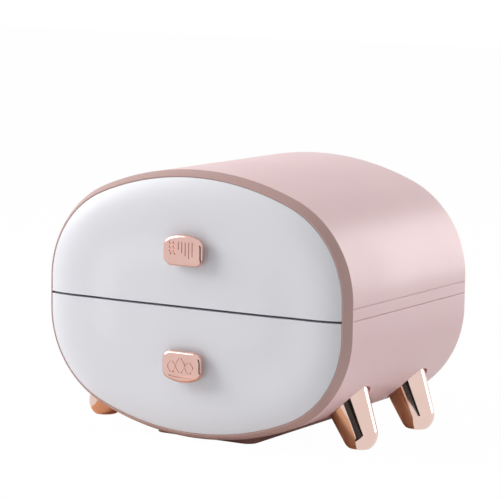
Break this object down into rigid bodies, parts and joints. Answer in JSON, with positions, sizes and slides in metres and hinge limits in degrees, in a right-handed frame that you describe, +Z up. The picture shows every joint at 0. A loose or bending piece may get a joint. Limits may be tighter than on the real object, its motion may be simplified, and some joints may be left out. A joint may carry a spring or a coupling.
{
  "type": "makeup storage case with drawers",
  "caption": "Oval makeup storage case with a pink casing, crowned white drawer fronts, rose-gold knobs and splayed rose-gold legs.",
  "frame": {"origin": "on the table, under the middle of the whole case's box, drawers closed", "axes": "+X to the case's right as seen from the front, +Y to the back, +Z up; the drawers slide out along -Y"},
  "size_m": [0.3, 0.2354, 0.2309],
  "materials": {
    "shell_pink": "satin moulded plastic",
    "rim_rose": "satin painted plastic",
    "front_white": "soft gloss",
    "tray_white": "satin",
    "leg_rose_gold": "rose-gold plating on plastic",
    "knob_rose_gold": "rose-gold plating on plastic",
    "pad_rose": "soft matt",
    "screw_steel": "zinc plated"
  },
  "bodies": {
    "case": {"front_bezel": "rim_rose", "upper_shell": "shell_pink", "mid_shelf": "shell_pink", "lower_shell": "shell_pink", "back_panel": "shell_pink", "base_pad": "pad_rose", "front_left_leg": "leg_rose_gold", "front_right_leg": "leg_rose_gold", "rear_left_leg": "leg_rose_gold", "rear_right_leg": "leg_rose_gold", "upper_left_rail": "tray_white", "upper_right_rail": "tray_white", "lower_left_rail": "tray_white", "lower_right_rail": "tray_white", "leg_screws": "screw_steel", "upper_shell_screws": "screw_steel", "lower_shell_screws": "screw_steel", "back_panel_screws": "screw_steel", "base_pad_screws": "screw_steel"},
    "upper_drawer": {"upper_drawer_front": "front_white", "upper_drawer_tray": "tray_white", "upper_knob": "knob_rose_gold", "upper_front_screws": "screw_steel", "upper_knob_screws": "screw_steel"},
    "lower_drawer": {"lower_drawer_front": "front_white", "lower_drawer_tray": "tray_white", "lower_knob": "knob_rose_gold", "lower_front_screws": "screw_steel", "lower_knob_screws": "screw_steel"}
  },
  "joints": [
    {"name": "upper_drawer_slide", "type": "slide", "parent": "case", "child": "upper_drawer", "axis": [0, -1, 0], "range_m": [0, 0.14]},
    {"name": "lower_drawer_slide", "type": "slide", "parent": "case", "child": "lower_drawer", "axis": [0, -1, 0], "range_m": [0, 0.14]}
  ]
}
